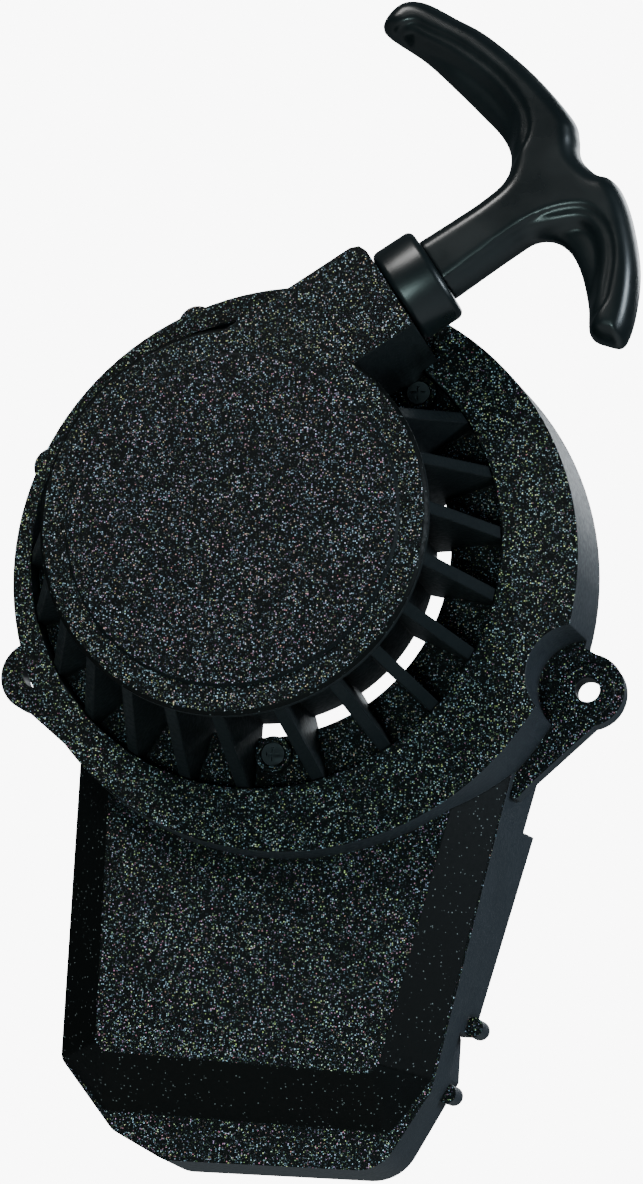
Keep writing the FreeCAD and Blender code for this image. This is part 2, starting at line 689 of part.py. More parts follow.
# Outline of the handle as (along, side from the rope line), in smooth runs that meet at corners.
HANDLE_RUNS = [
    [(72.2, 8.2), (90.0, 8.0), (96.5, 8.6), (101.4, 13.5), (102.6, 20.0), (101.4, 28.0),
     (99.6, 37.5), (97.2, 48.0), (93.0, 59.0)],
    [(93.0, 59.0), (93.6, 61.6), (97.8, 63.1), (101.8, 62.8), (105.6, 59.6), (109.4, 51.5),
     (113.4, 42.9), (117.3, 28.0), (119.0, 15.8)],
    [(119.0, 15.8), (118.8, 11.6), (117.4, 8.3)],
    [(117.4, 8.3), (115.6, 5.2), (115.1, 2.2), (116.2, -2.2)],
    [(116.2, -2.2), (118.6, -4.6), (118.9, -9.0), (116.8, -17.2), (112.0, -27.8), (105.1, -36.8),
     (99.0, -41.4)],
    [(99.0, -41.4), (95.8, -38.6), (93.6, -34.7)],
    [(93.6, -34.7), (97.0, -28.6), (100.0, -21.0), (100.9, -14.6), (99.2, -9.6), (95.4, -7.0),
     (90.0, -6.9), (72.2, -7.7)],
]
UPPER_RECESS = [(103.2, 55.2), (107.6, 45.5), (111.0, 34.0), (111.8, 24.0), (109.6, 17.2), (106.4, 16.6),
                (105.0, 23.0), (103.8, 32.0), (102.0, 41.0), (99.6, 50.0), (98.8, 55.0), (100.6, 57.4)]
LOWER_RECESS = [(103.4, -10.4), (108.4, -10.6), (111.0, -14.6), (109.4, -21.5), (105.6, -27.4),
                (100.8, -32.6), (98.4, -33.0), (99.8, -28.2), (103.0, -21.0), (103.6, -15.0)]


def draw_smooth(sketch, runs, shift):
    """Curves through the given points, one for each run."""
    for run in runs:
        points = [Vector(along, side + shift, 0) for along, side in run]
        curve = Part.BSplineCurve()
        if run[0] == run[-1]:
            curve.interpolate(Points=points[:-1], PeriodicFlag=True)
        else:
            curve.interpolate(points)
        sketch.addGeometry(curve, False)


def make_pull_handle():
    body = new_body("pull_handle")
    turn = mm("arm_angle")
    side = mm("rope_side")
    back, front = S("handle_back"), S("handle_front")
    sketch = new_sketch(body, "handle_outline", height=back, turn=turn)
    draw_smooth(sketch, HANDLE_RUNS, side)
    shift = [(72.2, HANDLE_RUNS[-1][-1][1] + side), (72.2, HANDLE_RUNS[0][0][1] + side)]
    sketch.addGeometry(Part.LineSegment(Vector(*shift[0], 0), Vector(*shift[1], 0)), False)
    extrude(body, sketch, "grip", front - back)
    for name, recess in (("upper", UPPER_RECESS), ("lower", LOWER_RECESS)):
        for face, height, reverse in (("front", front, False), ("back", back, True)):
            scoop = new_sketch(body, f"{name}_{face}_line", height=height, turn=turn)
            draw_smooth(scoop, [recess + recess[:1]], side)
            pocket = body.newObject("PartDesign::Pocket", f"{name}_{face}_recess")
            pocket.Profile = scoop
            pocket.Length = 2.4
            pocket.Reversed = reverse
            before = body.Shape.Volume
            doc.recompute()
            if body.Shape.Volume > before - 100:
                raise ValueError(f"{name} {face} recess is missing")
    start = rope_line_at(mm("handle_start") - 1)
    drill(body, "rope_bore", S("rope_radius") + 0.15, S("knot_seat") - S("handle_start") + 2, start, ALONG)
    drill(body, "knot_bore", S("knot_pocket"), 20, rope_line_at(mm("knot_seat")), ALONG)


# ---------------------------------------------------------------- ratchet

def pawl_outline(length, half):
    return [(-half, -half * 0.8), (-half, half * 0.8), (-half * 0.6, half), (length * 0.55, half),
            (length, half * 0.35), (length + 0.6, -half * 0.35), (length - 1.4, -half * 0.75),
            (length * 0.5, -half)]


def make_pawls():
    for number, turn in ((1, 0), (2, 180)):
        body = new_body(f"pawl_{number}")
        pad_polygon(body, f"pawl_{number}_blade", pawl_outline(mm("pawl_length"), mm("pawl_half")),
                    S("pawl_back"), S("pawl_front"))
        pad_circle(body, f"pawl_{number}_pin", S("pin_reach"), 0, S("pin_radius"),
                   S("plate_back") + 0.4, S("pawl_back"))
        cut_circles(body, f"pawl_{number}_bore", [(0, 0, S("pivot_post") + 0.06)],
                    S("pawl_front"), S("pawl_back"))
        body.Placement = Placement(at_polar(mm("pivot_radius"), 90 + turn, 0),
                                   Rotation(Vector(0, 1, 0), -turn))
        make_pawl_spring(number, turn)


def make_pawl_spring(number, turn):
    """An open ring of wire round the pivot post, between the pawl and the reel."""
    wire = 0.45
    ring_radius = mm("pivot_post") + wire + 0.25
    section = Part.Face(Part.Wire(Part.Circle(Vector(ring_radius, 0, 0), Vector(0, 1, 0), wire).toShape()))
    spring = doc.addObject("Part::Feature", f"pawl_spring_{number}")
    spring.Shape = section.revolve(Vector(0, 0, 0), Vector(0, 0, 1), 320)
    middle = mm("pawl_front") + wire + 0.1
    spring.Placement = Placement(at_polar(mm("pivot_radius"), 90 + turn, middle), facing(FRONT))
    nodes[f"pawl_spring_{number}"] = spring


def make_guide_plate():
    body = new_body("guide_plate")
    pad_circle(body, "plate_disc", 0, 0, S("plate_radius"), S("plate_back"), S("plate_front"))
    half = mm("slot_half")
    reach, pivot = mm("pin_reach"), mm("pivot_radius")
    for number, turn in ((1, 0), (2, 180)):
        start = Vector(reach, pivot, 0)
        swing = math.radians(20)
        far = Vector(reach * math.cos(swing), pivot + reach * math.sin(swing), 0)
        end = Rotation(Vector(0, 0, 1), -28).multVec(far)
        bulge = Vector(end.y - start.y, start.x - end.x, 0).normalize() * -0.3
        way = (end - start).normalize()
        across = Vector(-way.y, way.x, 0)
        a, b = start + bulge, end + bulge
        sketch = new_sketch(body, f"slot_{number}_line", height=S("plate_front"), turn=turn)
        sketch.addGeometry([
            Part.LineSegment(a + across * half, b + across * half),
            Part.Arc(b + across * half, b + way * half, b - across * half),
            Part.LineSegment(b - across * half, a - across * half),
            Part.Arc(a - across * half, a - way * half, a + across * half),
        ], False)
        extrude(body, sketch, f"slot_{number}", S("plate_front") - S("plate_back"), cut=True)
    cut_circles(body, "plate_bore", [(0, 0, S("shoulder_radius") + 0.06)],
                S("plate_front"), S("plate_back"))


def make_brake_spring():
    """Cone washer that presses the guide plate onto the screw's head, so the plate drags."""
    gap, thick = 0.05, 0.5
    inside, outside = S("shoulder_radius") + 0.3, 7.4
    turned("brake_spring", [
        (inside, S("washer_back") - gap), (outside, S("plate_front") + gap + thick),
        (outside, S("plate_front") + gap), (inside, S("washer_back") - gap - thick),
    ])


def make_centre_screw():
    turned("centre_screw", [
        (0, S("head_back") + 2.4), (2.5, S("head_back") + 2.4), (2.5, S("head_back")),
        (S("head_radius") - 0.8, S("head_back")), (S("head_radius"), S("head_back") + 0.8),
        (S("head_radius"), S("plate_back") - 0.15), (S("shoulder_radius"), S("plate_back") - 0.15),
        (S("shoulder_radius"), S("washer_back")), (S("screw_bore") - 0.02, S("washer_back")),
        (S("screw_bore") - 0.02, S("screw_bore_end") - 3), (0, S("screw_bore_end") - 2.2),
    ])
    turned("retaining_washer", [
        (S("screw_bore") + 0.1, S("washer_back")), (S("washer_radius"), S("washer_back")),
        (S("washer_radius"), S("post_end")), (S("screw_bore") + 0.1, S("post_end")),
    ])


def make_body_screws():
    """Three pan-head screws with cross slots, as one group."""
    body = new_body("body_screws")
    body.AllowCompound = True
    seat = S("ear_seat")
    for i, (radius, angle) in enumerate(SCREW_SPOTS, start=1):
        spot = at_polar(radius, angle, 0)
        pad_circle(body, f"shank_{i}", spot.x, spot.z, S("ear_hole") - 0.22, 6, seat)
        pad_circle(body, f"head_{i}", spot.x, spot.z, S("ear_recess") - 0.25, seat, seat + 1.8)
        sketch = new_sketch(body, f"cross_{i}_line", height=seat + 1.8)
        arm, half = 1.7, 0.4
        cross = [(-arm, -half), (-half, -half), (-half, -arm), (half, -arm), (half, -half), (arm, -half),
                 (arm, half), (half, half), (half, arm), (-half, arm), (-half, half), (-arm, half)]
        draw_polygon(sketch, [(spot.x + x, spot.z + z) for x, z in cross])
        extrude(body, sketch, f"cross_{i}", 1.0, cut=True)


# ---------------------------------------------------------------- build, check, write

make_fan_shroud()
make_starter_body()
make_rope_guide()
make_reel(make_rope_winding())
make_rope_lead()
make_knots()
make_recoil_spring()
make_spring_case()
make_pull_handle()
make_pawls()
make_guide_plate()
make_brake_spring()
make_centre_screw()
make_body_screws()
doc.recompute()

for item in doc.Objects:
    bad = [state for state in item.State if state in ("Invalid", "Error")]
    if bad:
        raise ValueError(f"{item.Name} is {bad[0]}")
os.makedirs("parts", exist_ok=True)
for label, item in nodes.items():
    shape = item.Shape
    if shape.isNull() or not shape.isValid() or not shape.Solids:
        raise ValueError(f"{label} has no sound solid")
    box = shape.BoundBox
    print("%-18s solids %d volume %9.0f  x %.1f..%.1f  y %.1f..%.1f  z %.1f..%.1f" % (
        label, len(shape.Solids), shape.Volume, box.XMin, box.XMax, box.YMin, box.YMax,
        box.ZMin, box.ZMax))
    shape.exportStep(f"parts/{label}.step")
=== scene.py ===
import math

import bmesh
import bpy
import numpy as np
from mathutils import Matrix, Vector


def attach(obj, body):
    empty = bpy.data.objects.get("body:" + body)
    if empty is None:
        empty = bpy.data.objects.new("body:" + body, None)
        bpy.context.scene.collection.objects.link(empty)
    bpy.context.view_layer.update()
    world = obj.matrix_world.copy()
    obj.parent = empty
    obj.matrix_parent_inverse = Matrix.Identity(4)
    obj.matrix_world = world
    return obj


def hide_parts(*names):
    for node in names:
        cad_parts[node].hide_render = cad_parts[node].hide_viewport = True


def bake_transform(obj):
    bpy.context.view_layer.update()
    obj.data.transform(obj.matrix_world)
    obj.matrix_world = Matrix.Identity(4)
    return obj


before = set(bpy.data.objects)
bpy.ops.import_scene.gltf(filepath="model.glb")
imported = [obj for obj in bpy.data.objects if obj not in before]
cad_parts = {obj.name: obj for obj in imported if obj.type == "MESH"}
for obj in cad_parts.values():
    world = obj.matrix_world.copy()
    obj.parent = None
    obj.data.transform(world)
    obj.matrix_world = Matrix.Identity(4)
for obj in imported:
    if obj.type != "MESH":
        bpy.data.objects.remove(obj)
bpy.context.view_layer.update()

MM = 0.001

# The rope arm's own directions in the frame: along the rope, across it, and out towards the user.
ARM_ANGLE = math.radians(34.75)
ALONG = Vector((math.cos(ARM_ANGLE), 0, math.sin(ARM_ANGLE)))
ACROSS = Vector((-math.sin(ARM_ANGLE), 0, math.cos(ARM_ANGLE)))
OUT = Vector((0, -1, 0))
# The rope's line in millimetres: beside the crank axis, and in front of the mounting plane.
ROPE_SIDE = 28.5
ROPE_HEIGHT = 44.0


def at_arm(along, across, height):
    """A point given in millimetres along the arm, across it and in front of the mounting plane."""
    return (ALONG * along + ACROSS * across + OUT * height) * MM


# ---------------------------------------------------------------- camera, floor, light

# The photograph's view, as estimated: the camera's direction and roll, the point it looks at, its
# distance in metres, and its lens and sensor in millimetres.
CAMERA_AZIMUTH = math.radians(13.41)
CAMERA_ELEVATION = math.radians(-12.06)
CAMERA_ROLL = math.radians(3.96)
CAMERA_TARGET = Vector((15.26, -25.0, -10.19)) * MM
CAMERA_DISTANCE = 0.8
CAMERA_LENS = 100.6
CAMERA_SENSOR = 36.0


def make_camera():
    """The camera, at the photograph's estimated viewpoint."""
    azimuth, elevation, roll = CAMERA_AZIMUTH, CAMERA_ELEVATION, CAMERA_ROLL
    back = Vector((math.sin(azimuth) * math.cos(elevation),
                   -math.cos(azimuth) * math.cos(elevation), math.sin(elevation)))
    level = Vector((math.cos(azimuth), math.sin(azimuth), 0))
    upright = back.cross(level)
    right = level * math.cos(roll) + upright * math.sin(roll)
    up = upright * math.cos(roll) - level * math.sin(roll)
    camera = bpy.data.objects.new("camera", bpy.data.cameras.new("camera"))
    bpy.context.collection.objects.link(camera)
    turn = Matrix((right, up, back)).transposed().to_4x4()
    camera.matrix_world = Matrix.Translation(CAMERA_TARGET + back * CAMERA_DISTANCE) @ turn
    camera.data.lens = CAMERA_LENS
    camera.data.sensor_width = CAMERA_SENSOR
    camera.data.clip_start = 0.01
    camera.data.clip_end = 50
    bpy.context.scene.camera = camera


def make_light(name, place, size, power, colour):
    """A round area lamp, in metres and watts, aimed at the frame's origin."""
    data = bpy.data.lights.new(name, "AREA")
    data.shape = "DISK"
    data.size = size
    data.energy = power
    data.color = colour
    lamp = bpy.data.objects.new(name, data)
    bpy.context.collection.objects.link(lamp)
    lamp.location = place
    aim = Vector((0, 0, 0)) - Vector(place)
    lamp.rotation_euler = aim.to_track_quat("-Z", "Y").to_euler()


def white_to_camera(tree, surface, brightness):
    """Shows plain white to the camera, while the given surface lights everything else."""
    bright = tree.nodes.new("ShaderNodeBackground" if surface.node.type == "BACKGROUND"
                            else "ShaderNodeEmission")
    bright.inputs["Color"].default_value = (1.0, 1.0, 1.0, 1)
    bright.inputs["Strength"].default_value = brightness
    seen = tree.nodes.new("ShaderNodeLightPath")
    choose = tree.nodes.new("ShaderNodeMixShader")
    tree.links.new(seen.outputs["Is Camera Ray"], choose.inputs[0])
    tree.links.new(surface, choose.inputs[1])
    tree.links.new(bright.outputs[0], choose.inputs[2])
    return choose.outputs[0]


def make_room():
    """A dim bluish room that the camera sees as white."""
    world = bpy.data.worlds.new("pale_room")
    bpy.context.scene.world = world
    world.use_nodes = True
    tree = world.node_tree
    dim = tree.nodes["Background"]
    dim.inputs["Color"].default_value = (0.75, 0.90, 1.0, 1)
    dim.inputs["Strength"].default_value = 0.07
    tree.links.new(white_to_camera(tree, dim.outputs[0], brightness=9.0),
                   tree.nodes["World Output"].inputs["Surface"])


def make_floor():
    """A pale floor well below the part, clear of the handle and of low views."""
    data = bpy.data.meshes.new("floor")
    half, level = 8.0, -1.1
    data.from_pydata([(-half, -half, level), (half, -half, level), (half, half, level),
                      (-half, half, level)], [], [(0, 1, 2, 3)])
    floor = bpy.data.objects.new("floor", data)
    bpy.context.collection.objects.link(floor)
    paint = bpy.data.materials.new("floor_paint")
    paint.use_nodes = True
    tree = paint.node_tree
    shader = tree.nodes["Principled BSDF"]
    shader.inputs["Base Color"].default_value = (0.9, 0.9, 0.9, 1)
    shader.inputs["Roughness"].default_value = 0.9
    tree.links.new(white_to_camera(tree, shader.outputs[0], brightness=4.0),
                   tree.nodes["Material Output"].inputs["Surface"])
    data.materials.append(paint)


def make_stage():
    """The room, the floor and the four lamps."""
    make_room()
    make_floor()
    make_light("key", place=(-0.50, -1.0, 1.15), size=0.6, power=15, colour=(1.0, 0.99, 0.97))
    make_light("side", place=(1.4, -0.35, 0.30), size=0.5, power=15, colour=(0.78, 0.90, 1.0))
    make_light("low", place=(0.1, -1.1, -0.40), size=0.28, power=4.5, colour=(0.72, 1.0, 0.98))
    make_light("behind", place=(0.6, 1.4, 0.9), size=0.8, power=9, colour=(0.9, 0.96, 1.0))


# ---------------------------------------------------------------- materials

class Paint:
    """A node material, with short calls for the nodes that it needs."""

    def __init__(self, name):
        self.material = bpy.data.materials.new(name)
        self.material.use_nodes = True
        self.tree = self.material.node_tree
        self.shader = self.tree.nodes["Principled BSDF"]
        self.where = self.add("ShaderNodeTexCoord")

    def add(self, kind, **settings):
        node = self.tree.nodes.new(kind)
        for key, value in settings.items():
            setattr(node, key, value)
        return node

    def link(self, source, target):
        self.tree.links.new(source, target)

    def set(self, **values):
        """Sets the shader's inputs; an underscore stands for a space in an input's name."""
        for key, value in values.items():
            self.shader.inputs[key.replace("_", " ")].default_value = value

    def noise(self, scale, detail=3.0, rough=0.55):
        """Soft noise from 0 to 1, with scale in repeats per metre."""
        node = self.add("ShaderNodeTexNoise")
        node.inputs["Scale"].default_value = scale
        node.inputs["Detail"].default_value = detail
        node.inputs["Roughness"].default_value = rough
        self.link(self.where.outputs["Object"], node.inputs["Vector"])
        return node.outputs["Fac"]

    def cells(self, scale):
        """A cell pattern: a random colour in each cell, and the distance from the cell's own point."""
        node = self.add("ShaderNodeTexVoronoi")
        node.inputs["Scale"].default_value = scale
        self.link(self.where.outputs["Object"], node.inputs["Vector"])
        return node

    def span(self, value, low, high, to_low=0.0, to_high=1.0):
        """Maps low to high smoothly onto to_low to to_high, and holds the ends."""
        node = self.add("ShaderNodeMapRange", interpolation_type="SMOOTHSTEP")
        node.inputs["From Min"].default_value = low
        node.inputs["From Max"].default_value = high
        node.inputs["To Min"].default_value = to_low
        node.inputs["To Max"].default_value = to_high
        self.link(value, node.inputs["Value"])
        return node.outputs["Result"]

    def maths(self, kind, a, b):
        """One arithmetic step on two values, each a number or another node's output."""
        node = self.add("ShaderNodeMath", operation=kind)
        for socket, value in zip(node.inputs, (a, b)):
            if isinstance(value, (int, float)):
                socket.default_value = value
            else:
                self.link(value, socket)
        return node.outputs["Value"]

    def blend(self, factor, a, b, kind="MIX"):
        """Goes from colour a to colour b by the factor; either can be another node's output."""
        node = self.add("ShaderNodeMix", data_type="RGBA", blend_type=kind)
        self.link(factor, node.inputs[0])
        for socket, value in ((node.inputs[6], a), (node.inputs[7], b)):
            if isinstance(value, tuple):
                socket.default_value = (*value, 1)
            else:
                self.link(value, socket)
        return node.outputs[2]

    def brighten(self, colour, gains):
        """Multiplies red, green and blue each by its own number."""
        node = self.add("ShaderNodeVectorMath", operation="MULTIPLY")
        node.inputs[1].default_value = gains
        self.link(colour, node.inputs[0])
        return node.outputs["Vector"]

    def darken(self, colour, factor):
        """Multiplies the whole colour by another node's output."""
        node = self.add("ShaderNodeVectorMath", operation="SCALE")
        self.link(colour, node.inputs[0])
        self.link(factor, node.inputs["Scale"])
        return node.outputs["Vector"]

    def bump(self, height, strength, distance, after=None):
        """Gives the surface relief, on top of the normal in after where there is one."""
        node = self.add("ShaderNodeBump")
        node.inputs["Strength"].default_value = strength
        node.inputs["Distance"].default_value = distance
        self.link(height, node.inputs["Height"])
        if after is not None:
            self.link(after, node.inputs["Normal"])
        self.link(node.outputs["Normal"], self.shader.inputs["Normal"])
        return node.outputs["Normal"]


# Repeats in a metre of the nylon's grains, of the fine relief between them, and of the slower
# change in the ground's colour and shine.
GRAIN_SCALE = 2500.0
RELIEF_SCALE = 1500.0
GROUND_SCALE = 900.0


def spark_eroded_nylon(name, wall_dark, wall_light):
    """Glass-filled black nylon: grained faces with painted glints where the mould faced the front,
    smooth walls.
    """
    paint = Paint(name)
    # How squarely a surface faces the front: 1 squarely, 0 edge on.
    split = paint.add("ShaderNodeSeparateXYZ")
    paint.link(paint.where.outputs["Normal"], split.inputs["Vector"])
    frontward = paint.maths("MULTIPLY", split.outputs["Y"], -1.0)
    grained = paint.span(frontward, 0.90, 0.985)
    sparse = paint.span(frontward, 0.45, 0.75)

    # Each cell is one of the glass's grains. Some, picked by their random red, get a painted glint: a
    # bright bluish colour in place of the black.
    cells = paint.cells(GRAIN_SCALE)
    pick = paint.add("ShaderNodeSeparateColor")
    paint.link(cells.outputs["Color"], pick.inputs["Color"])
    near = paint.span(cells.outputs["Distance"], 0.18, 0.54, 1.0, 0.0)
    clouds = paint.span(paint.noise(120.0, 4.0, 0.7), 0.3, 0.7, 0.55, 1.15)
    glint = paint.maths("MULTIPLY", paint.maths("POWER", pick.outputs["Red"], 4.4), clouds)
    lit = paint.maths("MULTIPLY", glint, near)
    tint = paint.blend(paint.span(pick.outputs["Blue"], 0.2, 0.9, 0.35, 0.95),
                       cells.outputs["Color"], (0.50, 0.64, 0.72))
    ground = paint.blend(paint.noise(GROUND_SCALE, 5.0, 0.7), (0.0006, 0.0009, 0.0010),
                         (0.0030, 0.0042, 0.0046))
    # The ground, lightened to the glints' colour at the picked grains: painted glints.
    grain_with_painted_glints = paint.blend(lit, ground, paint.brighten(tint, (1.75, 2.10, 2.20)))

    # Sloping walls carry painted glints on only the rarest grains, and steep walls none.
    rare = paint.maths("MULTIPLY", paint.span(pick.outputs["Red"], 0.955, 0.985), near)
    slope_painted_glints = paint.blend(paint.maths("MULTIPLY", rare, sparse), (0.0016, 0.0023, 0.0020),
                      (0.26, 0.30, 0.30))
    walls = paint.blend(paint.noise(90.0, 3.0, 0.5), wall_dark, wall_light)
    plain = paint.blend(sparse, walls, slope_painted_glints)

    # Painted shade: the colour is darkened in narrow gaps, where little open space surrounds the
    # surface.
    open_to_light = paint.add("ShaderNodeAmbientOcclusion", samples=8)
    open_to_light.inputs["Distance"].default_value = 6 * MM
    painted_crevice_shade = paint.span(open_to_light.outputs["AO"], 0.30, 0.85, 0.12, 1.0)
    paint.link(paint.darken(paint.blend(grained, plain, grain_with_painted_glints), painted_crevice_shade),
               paint.shader.inputs["Base Color"])

    rough = paint.span(paint.noise(GROUND_SCALE), 0.3, 0.7, 0.40, 0.58)
    paint.link(rough, paint.shader.inputs["Roughness"])
    paint.link(paint.span(frontward, 0.15, 0.45, 0.55, 0.12),
               paint.shader.inputs["Specular IOR Level"])
    edges = paint.add("ShaderNodeBevel", samples=4)
    edges.inputs["Radius"].default_value = 0.7 * MM
    height = paint.maths("MULTIPLY", paint.maths("ADD", near, paint.noise(RELIEF_SCALE)), grained)
    paint.bump(height, 0.6, 0.12 * MM, edges.outputs["Normal"])
    return paint.material


def satin_nylon():
    """Handle and collar: smooth black nylon with a soft, slightly uneven shine."""
    paint = Paint("satin_nylon")
    broad = paint.noise(45.0, 4.0, 0.6)
    fine = paint.noise(1300.0, 3.0, 0.6)
    colour = paint.blend(broad, (0.0025, 0.0040, 0.0045), (0.008, 0.014, 0.016))
    paint.link(colour, paint.shader.inputs["Base Color"])
    paint.link(paint.span(broad, 0.3, 0.7, 0.26, 0.38), paint.shader.inputs["Roughness"])
    paint.set(IOR=1.5)
    paint.bump(paint.maths("ADD", paint.maths("MULTIPLY", fine, 0.3), broad), 0.25, 0.12 * MM)
    return paint.material


def plain_nylon():
    """Reel and guide plate: moulded black nylon, mottled and duller than the handle's."""
    paint = Paint("reel_nylon")
    broad = paint.noise(60.0, 5.0, 0.6)
    paint.link(paint.blend(broad, (0.018, 0.018, 0.019), (0.045, 0.045, 0.047)),
               paint.shader.inputs["Base Color"])
    paint.link(paint.span(broad, 0.3, 0.7, 0.42, 0.6), paint.shader.inputs["Roughness"])
    paint.bump(paint.noise(900.0, 3.0), 0.3, 0.08 * MM)
    return paint.material


def metal(name, dark, light, rough_low, rough_high):
    """Plated or bare metal with fine marks along one direction and darker patches."""
    paint = Paint(name)
    stretch = paint.add("ShaderNodeMapping")
    stretch.inputs["Scale"].default_value = (60.0, 60.0, 900.0)
    paint.link(paint.where.outputs["Object"], stretch.inputs["Vector"])
    marks = paint.add("ShaderNodeTexNoise")
    marks.inputs["Scale"].default_value = 4.0
    marks.inputs["Detail"].default_value = 4.0
    paint.link(stretch.outputs["Vector"], marks.inputs["Vector"])
    patches = paint.noise(150.0, 4.0)
    paint.link(paint.blend(patches, dark, light), paint.shader.inputs["Base Color"])
    paint.link(paint.span(marks.outputs["Fac"], 0.3, 0.7, rough_low, rough_high),
               paint.shader.inputs["Roughness"])
    paint.set(Metallic=1.0)
    paint.bump(marks.outputs["Fac"], 0.15, 0.05 * MM)
    return paint.material


def braided_rope():
    """Pale braided nylon: small rounded plaits, with painted shade darkening the valleys between them.
    """
    paint = Paint("braided_rope")
    plaits = paint.cells(900.0)
    lift = paint.span(plaits.outputs["Distance"], 0.0, 0.6, 1.0, 0.0)
    fibres = paint.noise(4200.0, 2.0)
    # Painted shade: the colour darkens from each plait's crown into the valleys.
    shade = paint.blend(lift, (0.30, 0.29, 0.27), (0.72, 0.71, 0.67))
    paint.link(paint.blend(fibres, shade, (0.78, 0.76, 0.71), "MULTIPLY"),
               paint.shader.inputs["Base Color"])
    paint.set(Roughness=0.8, Sheen_Weight=0.25)
    paint.bump(paint.maths("ADD", lift, paint.maths("MULTIPLY", fibres, 0.3)), 0.7, 0.25 * MM)
    return paint.material


def dress(node, material):
    """Gives a carried CAD node its finish."""
    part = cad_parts[node]
    part.data.materials.clear()
    part.data.materials.append(material)


# ---------------------------------------------------------------- pieces

def smooth_shade(piece, angle):
    """Shades the piece smooth, with crisp edges where faces meet at more than the angle."""
    for face in piece.data.polygons:
        face.use_smooth = True
    split = piece.modifiers.new("crisp_edges", "EDGE_SPLIT")
    split.split_angle = math.radians(angle)


def smooth_line(points, steps=6):
    """A smooth closed line through the points, as (x, y) pairs."""
    count = len(points)
    line = []
    for i in range(count):
        before, here, ahead, after = (points[(i + k) % count] for k in (-1, 0, 1, 2))
        for step in range(steps):
            t = step / steps
            line.append([0.5 * (2 * q + (r - p) * t + (2 * p - 5 * q + 4 * r - s) * t * t
                                + (3 * q - p - 3 * r + s) * t ** 3)
                         for p, q, r, s in zip(before, here, ahead, after)])
    return np.array(line)


def depth_inside(x, y, outline):
    """Distance from the outline at every (x, y): positive inside it, negative outside."""
    nearest = np.full(x.shape, 1e9)
    inside = np.zeros(x.shape, bool)
    for (ax, ay), (bx, by) in zip(outline, np.roll(outline, -1, axis=0)):
        ex, ey = bx - ax, by - ay
        t = np.clip(((x - ax) * ex + (y - ay) * ey) / (ex * ex + ey * ey + 1e-12), 0, 1)
        nearest = np.minimum(nearest, np.hypot(x - ax - t * ex, y - ay - t * ey))
        if ay != by:
            crosses = ((ay > y) != (by > y)) & (x < ex * (y - ay) / ey + ax)
            inside ^= crosses
    return np.where(inside, nearest, -nearest)


def soft_step(value):
    """Goes smoothly from 0 to 1 as the value does."""
    value = np.clip(value, 0, 1)
    return value * value * (3 - 2 * value)


def surface_net(solid, base, step):
    """A quad mesh over the places where the sampled solid changes from positive to negative.

    Each grid cell that the surface passes through gets one point, the mean of the places where
    the surface crosses the cell's edges. Each crossed grid edge gets one face.
    """
    shape = np.array(solid.shape) - 1
    corners = [(i, j, k) for i in (0, 1) for j in (0, 1) for k in (0, 1)]

    def at(corner):
        return solid[tuple(slice(c, c + n) for c, n in zip(corner, shape))]

    total = np.zeros((*shape, 3))
    count = np.zeros(shape)
    for first in corners:
        for axis in range(3):
            if first[axis]:
                continue
            second = tuple(c + (a == axis) for a, c in enumerate(first))
            low, high = at(first), at(second)
            crossed = (low > 0) != (high > 0)
            part = np.where(crossed, low / np.where(crossed, low - high, 1), 0)
            for a in range(3):
                total[..., a] += crossed * (first[a] + (part if a == axis else 0))
            count += crossed
    used = np.argwhere(count > 0)
    number = np.full(shape, -1)
    number[tuple(used.T)] = np.arange(len(used))
    mean = total[tuple(used.T)] / count[tuple(used.T)][:, None]
    points = (used + mean) * step + np.array(base)

    quads = []
    inside = solid > 0
    for axis in range(3):
        u, v = (axis + 1) % 3, (axis + 2) % 3
        ahead = np.roll(inside, -1, axis)
        for leaving in (True, False):
            cells = np.argwhere((inside != ahead) & (inside == leaving))
            cells = cells[(cells[:, u] > 0) & (cells[:, v] > 0) & (cells[:, axis] < shape[axis])
                          & (cells[:, u] < shape[u]) & (cells[:, v] < shape[v])]
            ring = []
            for du, dv in ((1, 1), (0, 1), (0, 0), (1, 0)):
                shifted = cells.copy()
                shifted[:, u] -= du
                shifted[:, v] -= dv
                ring.append(number[tuple(shifted.T)])
            ring = np.stack(ring, 1)
            quads.append(ring if leaving else ring[:, ::-1])
    return points, np.concatenate(quads)


def even_normals(mesh):
    """Evens the points out a little and turns every face outwards."""
    work = bmesh.new()
    work.from_mesh(mesh)
    bmesh.ops.smooth_vert(work, verts=work.verts, factor=0.5, use_axis_x=True, use_axis_y=True,
                          use_axis_z=True)
    bmesh.ops.recalc_face_normals(work, faces=work.faces)
    work.to_mesh(mesh)
    work.free()


# Where the stem stops against the collar, in millimetres along the rope.
STEM_END = 72.0
# Half the handle's thickness in front of the rope's plane and behind it, and the width of its
# rounded edge.
FRONT_THICK = 7.25
BACK_THICK = 6.6
EDGE_ROUND = 4.4
# A hollow begins with a low step at its rim, then falls away to its floor.
RIM_DROP = 0.9
RIM_WIDTH = 0.8
FLOOR_DROP = 2.9
FLOOR_START = 2.4
FLOOR_WIDTH = 3.4
# The box that the handle is sampled in, along the rope, across it and out, and the spacing.
GRID_LOW = (71.0, -43.0, -8.5)
GRID_HIGH = (121.0, 65.0, 8.6)
GRID_STEP = 0.55
